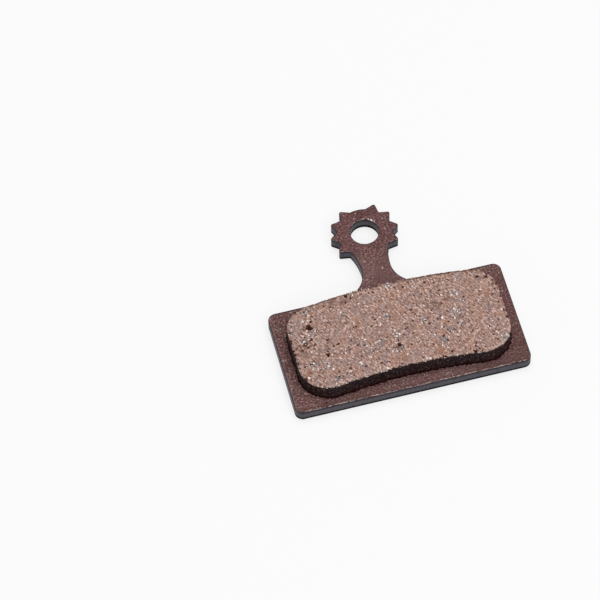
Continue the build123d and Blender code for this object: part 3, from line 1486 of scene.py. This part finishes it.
@dataclass
class MetalFlecks:
    """Chips and fibres of metal that lie bare in the ground face.

    Sizes are in millimetres, chip_width and chip_height are parts of what they belong to, and tone_beta
    holds the two numbers of the beta distribution that gives how bright flecks are.
    """

    seed: int = 7
    chips: int = 500
    chip_size: Range = (0.05, 0.19)
    chip_width: Range = (0.4, 0.8)
    chip_height: float = 0.6
    tone_beta: tuple[float, float] = (2.0, 0.9)
    warmth: float = 1.0
    fibres: int = 42
    fibre_length: Range = (0.25, 0.6)
    fibre_radius: float = 0.032
    fibre_taper: float = 0.8
    fibre_sides: int = 6
    cluster_share: float = 54.0
    cluster_power: float = 1.4
    cluster_spread: tuple[float, float] = (0.65, 0.7)
    cluster_size: Odds = (0.05, 0.2, 0.07)
    cluster_tones: tuple[float, ...] = (0.0, 0.0, 0.2, 0.3, 0.5, 0.8, 1.0, 1.0, 1.0)
    cluster_warmth: float = 0.5
    lone_swell: float = 1.2
    lone_tone: float = 1.0
    lone_warmth: float = 0.6
    grind_angle: float = 121.0
    heading_spread: float = 35.0
    tilt: float = 0.12
    deepest: float = 0.12
    finish: FleckMetal = field(default_factory=FleckMetal)

    def build(self, block: bpy.types.Object) -> bpy.types.Object:
        """Builds the flecks on the dressed block.

        Args:
            block: The friction block.

        Returns:
            One object that holds all flecks.
        """
        draw = random.Random(self.seed)
        ground = bmesh.new()
        ground.from_mesh(block.data)
        surface = BVHTree.FromBMesh(ground)
        ground.free()
        low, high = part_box("friction_block")
        work = bmesh.new()
        tone = work.verts.layers.float.new("tone")
        warmth = work.verts.layers.float.new("warmth")
        for fleck in self.scattered(draw, low / MM, high / MM):
            above = Vector((fleck.x * MM, fleck.y * MM, high.z + MM))
            spot = surface.ray_cast(above, DOWN)[0]
            if spot is not None and spot.z > high.z - self.deepest * MM:
                for vert in self.add(work, spot, fleck, draw):
                    vert[tone], vert[warmth] = fleck.tone, fleck.warmth
        return loose_piece("metal_flecks", work, self.finish.make())

    def scattered(self, draw: random.Random, low: Vector, high: Vector) -> list[Fleck]:
        """Scatters the flecks, crowds some in the silver clusters and adds the lone chips.

        Args:
            draw: The source of chance.
            low: The face's lowest corner in millimetres.
            high: Its highest corner.

        Returns:
            The flecks.
        """
        flecks = []
        for form, count in ((FleckForm.CHIP, self.chips), (FleckForm.FIBRE, self.fibres)):
            for _ in range(count):
                spot = draw.uniform(low.x, high.x), draw.uniform(low.y, high.y)
                size = draw.triangular(*self.chip_size, self.chip_size[0])
                flecks.append(Fleck(*spot, form, size, draw.betavariate(*self.tone_beta), self.warmth))
        for cluster in SILVER_CLUSTERS:
            reach_x, reach_y = (spread * cluster.radius for spread in self.cluster_spread)
            for _ in range(round(self.cluster_share * cluster.radius**self.cluster_power)):
                spot = draw.gauss(cluster.x, reach_x), draw.gauss(cluster.y, reach_y)
                size = draw.triangular(*self.cluster_size)
                tone = draw.choice(self.cluster_tones)
                flecks.append(Fleck(*spot, FleckForm.CHIP, size, tone, self.cluster_warmth))
        for chip in lone_chips():
            look = self.lone_swell * chip.radius, self.lone_tone, self.lone_warmth
            flecks.append(Fleck(chip.x, chip.y, FleckForm.CHIP, *look))
        return flecks

    def add(
        self, work: bmesh.types.BMesh, spot: Vector, fleck: Fleck, draw: random.Random
    ) -> list[bmesh.types.BMVert]:
        """Adds one fleck, half sunk in the face.

        Args:
            work: The mesh of all flecks.
            spot: Its place on the face, in metres.
            fleck: What it is like.
            draw: The source of chance.

        Returns:
            The fleck's vertices.
        """
        heading = math.radians(draw.gauss(self.grind_angle, self.heading_spread))
        turn = Euler((draw.gauss(0, self.tilt), draw.gauss(0, self.tilt), heading)).to_matrix().to_4x4()
        place = Matrix.Translation(spot) @ turn @ Matrix.Scale(MM, 4)
        if fleck.form is FleckForm.CHIP:
            width = fleck.size * draw.uniform(*self.chip_width)
            flat = Matrix.Diagonal((fleck.size, width, self.chip_height * width, 1))
            return bmesh.ops.create_icosphere(work, subdivisions=1, radius=1, matrix=place @ flat)["verts"]
        made = bmesh.ops.create_cone(
            work,
            cap_ends=True,
            segments=self.fibre_sides,
            radius1=self.fibre_radius,
            radius2=self.fibre_radius * self.fibre_taper,
            depth=draw.uniform(*self.fibre_length),
            matrix=place @ Matrix.Rotation(math.radians(90), 4, "Y"),
        )
        return made["verts"]


@dataclass
class Crumbs:
    """Crumbs of compound along the block's rim, and a few stuck on the plate beside it.

    Sizes, margins and places are in millimetres, width and height are parts of the size, and a swell is
    how much larger than usual crumbs are. A beta holds the two numbers of the beta distribution that gives
    how pale they are.
    """

    seed: int = 19
    size: Range = (0.03, 0.08)
    width: Range = (0.6, 1.0)
    height: Range = (0.5, 0.8)
    on_rim: int = 120
    rim_nearness: float = 0.82
    rim_slope: float = 0.7
    rim_beta: tuple[float, float] = (1.0, 1.6)
    runs: tuple[Run, ...] = RIM_RUNS
    run_points: int = 40
    run_pallor: Range = (0.7, 1.0)
    run_swell: float = 1.6
    plate_beta: tuple[float, float] = (1.0, 1.1)
    plate_swell: float = 0.9
    on_plate: int = 26
    end_margins: tuple[float, float] = (0.3, 0.2)
    end_along: Range = (0.5, 11.5)
    on_front: int = 60
    front_along: Range = (0.3, 1.4)
    front_across: Odds = (-1.5, 7.5, 4.2)
    finish: CrumbDust = field(default_factory=CrumbDust)

    def build(self, block: bpy.types.Object) -> bpy.types.Object:
        """Builds the crumbs round the dressed block.

        Args:
            block: The friction block.

        Returns:
            One object that holds all crumbs.
        """
        draw = random.Random(self.seed)
        near = block.data.attributes["rim"].data
        level = [vert for vert in block.data.vertices if vert.normal.z > self.rim_slope]
        rim = [vert.co.copy() for vert in level if near[vert.index].value > self.rim_nearness]
        work = bmesh.new()
        tone = work.verts.layers.float.new("tone")
        spots = [(draw.choice(rim), draw.betavariate(*self.rim_beta), 1.0) for _ in range(self.on_rim)]
        for run in self.runs:
            nearest = sorted(rim, key=lambda point: math.dist(point.xy, (run.x * MM, run.y * MM)))
            for _ in range(run.count):
                spot = draw.choice(nearest[: self.run_points])
                spots.append((spot, draw.uniform(*self.run_pallor), self.run_swell))
        for spot in self.plate_spots(draw):
            spots.append((spot, draw.betavariate(*self.plate_beta), self.plate_swell))
        for spot, pallor, swell in spots:
            size = swell * draw.uniform(*self.size) * MM
            sides = (size, size * draw.uniform(*self.width), size * draw.uniform(*self.height), 1)
            turn = Euler([draw.uniform(0, math.tau) for _ in range(3)]).to_matrix().to_4x4()
            place = Matrix.Translation(spot) @ turn @ Matrix.Diagonal(sides)
            for vert in bmesh.ops.create_icosphere(work, subdivisions=1, radius=1, matrix=place)["verts"]:
                vert[tone] = pallor
        return loose_piece("rim_crumbs", work, self.finish.make())

    def plate_spots(self, draw: random.Random) -> list[Vector]:
        """Picks places on the bare plate at the block's two ends and in front of it.

        Args:
            draw: The source of chance.

        Returns:
            The places in metres.
        """
        low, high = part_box("friction_block")
        plate_low, plate_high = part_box("backing_plate")
        outer, inner = (margin * MM for margin in self.end_margins)
        ends = (plate_low.x + outer, low.x - inner), (high.x + inner, plate_high.x - outer)
        start, stop = plate_low.y + self.end_along[0] * MM, low.y + self.end_along[1] * MM
        spots = []
        for _ in range(self.on_plate):
            y = draw.uniform(start, stop)
            spots.append(Vector((draw.uniform(*draw.choice(ends)), y, plate_high.z)))
        for _ in range(self.on_front):
            y = draw.uniform(*(plate_low.y + way * MM for way in self.front_along))
            spots.append(Vector((draw.triangular(*self.front_across) * MM, y, plate_high.z)))
        return spots


@dataclass(frozen=True)
class Lamp:
    """A square soft lamp: its name, its place and width in millimetres, and its power in watts."""

    name: str
    place: Place
    width: float
    power: float


@dataclass
class Studio:
    """Pale table, soft light and the camera, in millimetres and degrees unless a name says otherwise."""

    aim: Place = (-10.182, -6.7488, 0.0)
    azimuth: float = -12.7207
    elevation: float = 57.0288
    roll: float = -2.266
    distance: float = 447.957
    focal_px: float = 3586.17
    frame_px: float = 600.0
    sensor_width: float = 36.0
    near_clip: float = 10.0
    middle: Place = (0.0, -10.0, 0.0)
    room_level: float = 0.38
    backdrop: Colour = (0.97, 0.97, 0.97)
    lamps: tuple[Lamp, ...] = (
        Lamp("key", (40.0, 120.0, 560.0), 420.0, 1.4),
        Lamp("fill", (180.0, -400.0, 420.0), 350.0, 1.05),
    )
    floor_size: float = 3000.0
    floor_gap: float = 0.02

    def build(self) -> None:
        """Sets the table, the light and the camera."""
        self.lay_floor()
        self.light()
        self.place_camera()

    def lay_floor(self) -> None:
        """Lays the table just under the plate's back."""
        work = bmesh.new()
        place = Matrix.Translation(DOWN * self.floor_gap * MM)
        bmesh.ops.create_grid(work, x_segments=4, y_segments=4, size=self.floor_size * MM, matrix=place)
        mesh = bpy.data.meshes.new("table_top")
        work.to_mesh(mesh)
        work.free()
        mesh.materials.append(PaleFloor().make())
        floor = bpy.data.objects.new("table_top", mesh)
        bpy.context.scene.collection.objects.link(floor)

    def light(self) -> None:
        """Hangs the soft lamps and sets the pale surroundings."""
        for lamp in self.lamps:
            light = bpy.data.lights.new(lamp.name, "AREA")
            light.size = lamp.width * MM
            light.energy = lamp.power
            holder = bpy.data.objects.new(lamp.name, light)
            holder.location = Vector(lamp.place) * MM
            sight = Vector(self.middle) - Vector(lamp.place)
            holder.rotation_euler = sight.to_track_quat("-Z", "Y").to_euler()
            bpy.context.scene.collection.objects.link(holder)
        world = bpy.data.worlds.new("pale_room")
        world.use_nodes = True
        nodes, links = world.node_tree.nodes, world.node_tree.links
        room = nodes["Background"]
        room.inputs["Color"].default_value = (1, 1, 1, 1)
        room.inputs["Strength"].default_value = self.room_level
        white = nodes.new("ShaderNodeBackground")
        white.inputs["Color"].default_value = (*self.backdrop, 1)
        path = nodes.new("ShaderNodeLightPath")
        mix = nodes.new("ShaderNodeMixShader")
        for index, feed in enumerate((path.outputs["Is Camera Ray"], room.outputs[0], white.outputs[0])):
            links.new(feed, mix.inputs[index])
        links.new(mix.outputs[0], nodes["World Output"].inputs["Surface"])
        bpy.context.scene.world = world
        bpy.context.scene.view_settings.view_transform = "Standard"

    def place_camera(self) -> None:
        """Sets the camera at the photograph's viewing angle."""
        turn, lift, roll = (math.radians(angle) for angle in (self.azimuth, self.elevation, self.roll))
        back = Vector((math.sin(turn) * math.cos(lift), -math.cos(turn) * math.cos(lift), math.sin(lift)))
        right = Vector((math.cos(turn), math.sin(turn), 0))
        up = back.cross(right)
        side = right * math.cos(roll) + up * math.sin(roll)
        top = up * math.cos(roll) - right * math.sin(roll)
        lens = bpy.data.cameras.new("camera")
        lens.sensor_width = self.sensor_width
        lens.lens = self.focal_px / self.frame_px * lens.sensor_width
        lens.clip_start = self.near_clip * MM
        camera = bpy.data.objects.new("camera", lens)
        turned = Matrix((side, top, back)).transposed().to_4x4()
        camera.matrix_world = Matrix.Translation((Vector(self.aim) + self.distance * back) * MM) @ turned
        bpy.context.scene.collection.objects.link(camera)
        bpy.context.scene.camera = camera


def main() -> None:
    """Builds the pad and its studio."""
    logging.basicConfig(level=logging.INFO, format="%(name)s: %(message)s")
    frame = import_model()
    Studio().build()
    plate = frame["nodes"]["backing_plate"]
    BackingPlate().dress(plate)
    block = FrictionBlock().build(frame["nodes"]["friction_block"])
    flecks = MetalFlecks().build(block)
    crumbs = Crumbs().build(block)
    for piece in (plate, block, flecks, crumbs):
        LOG.info("%s: %d faces", piece.name, len(piece.data.polygons))


if __name__ == "__main__":
    main()
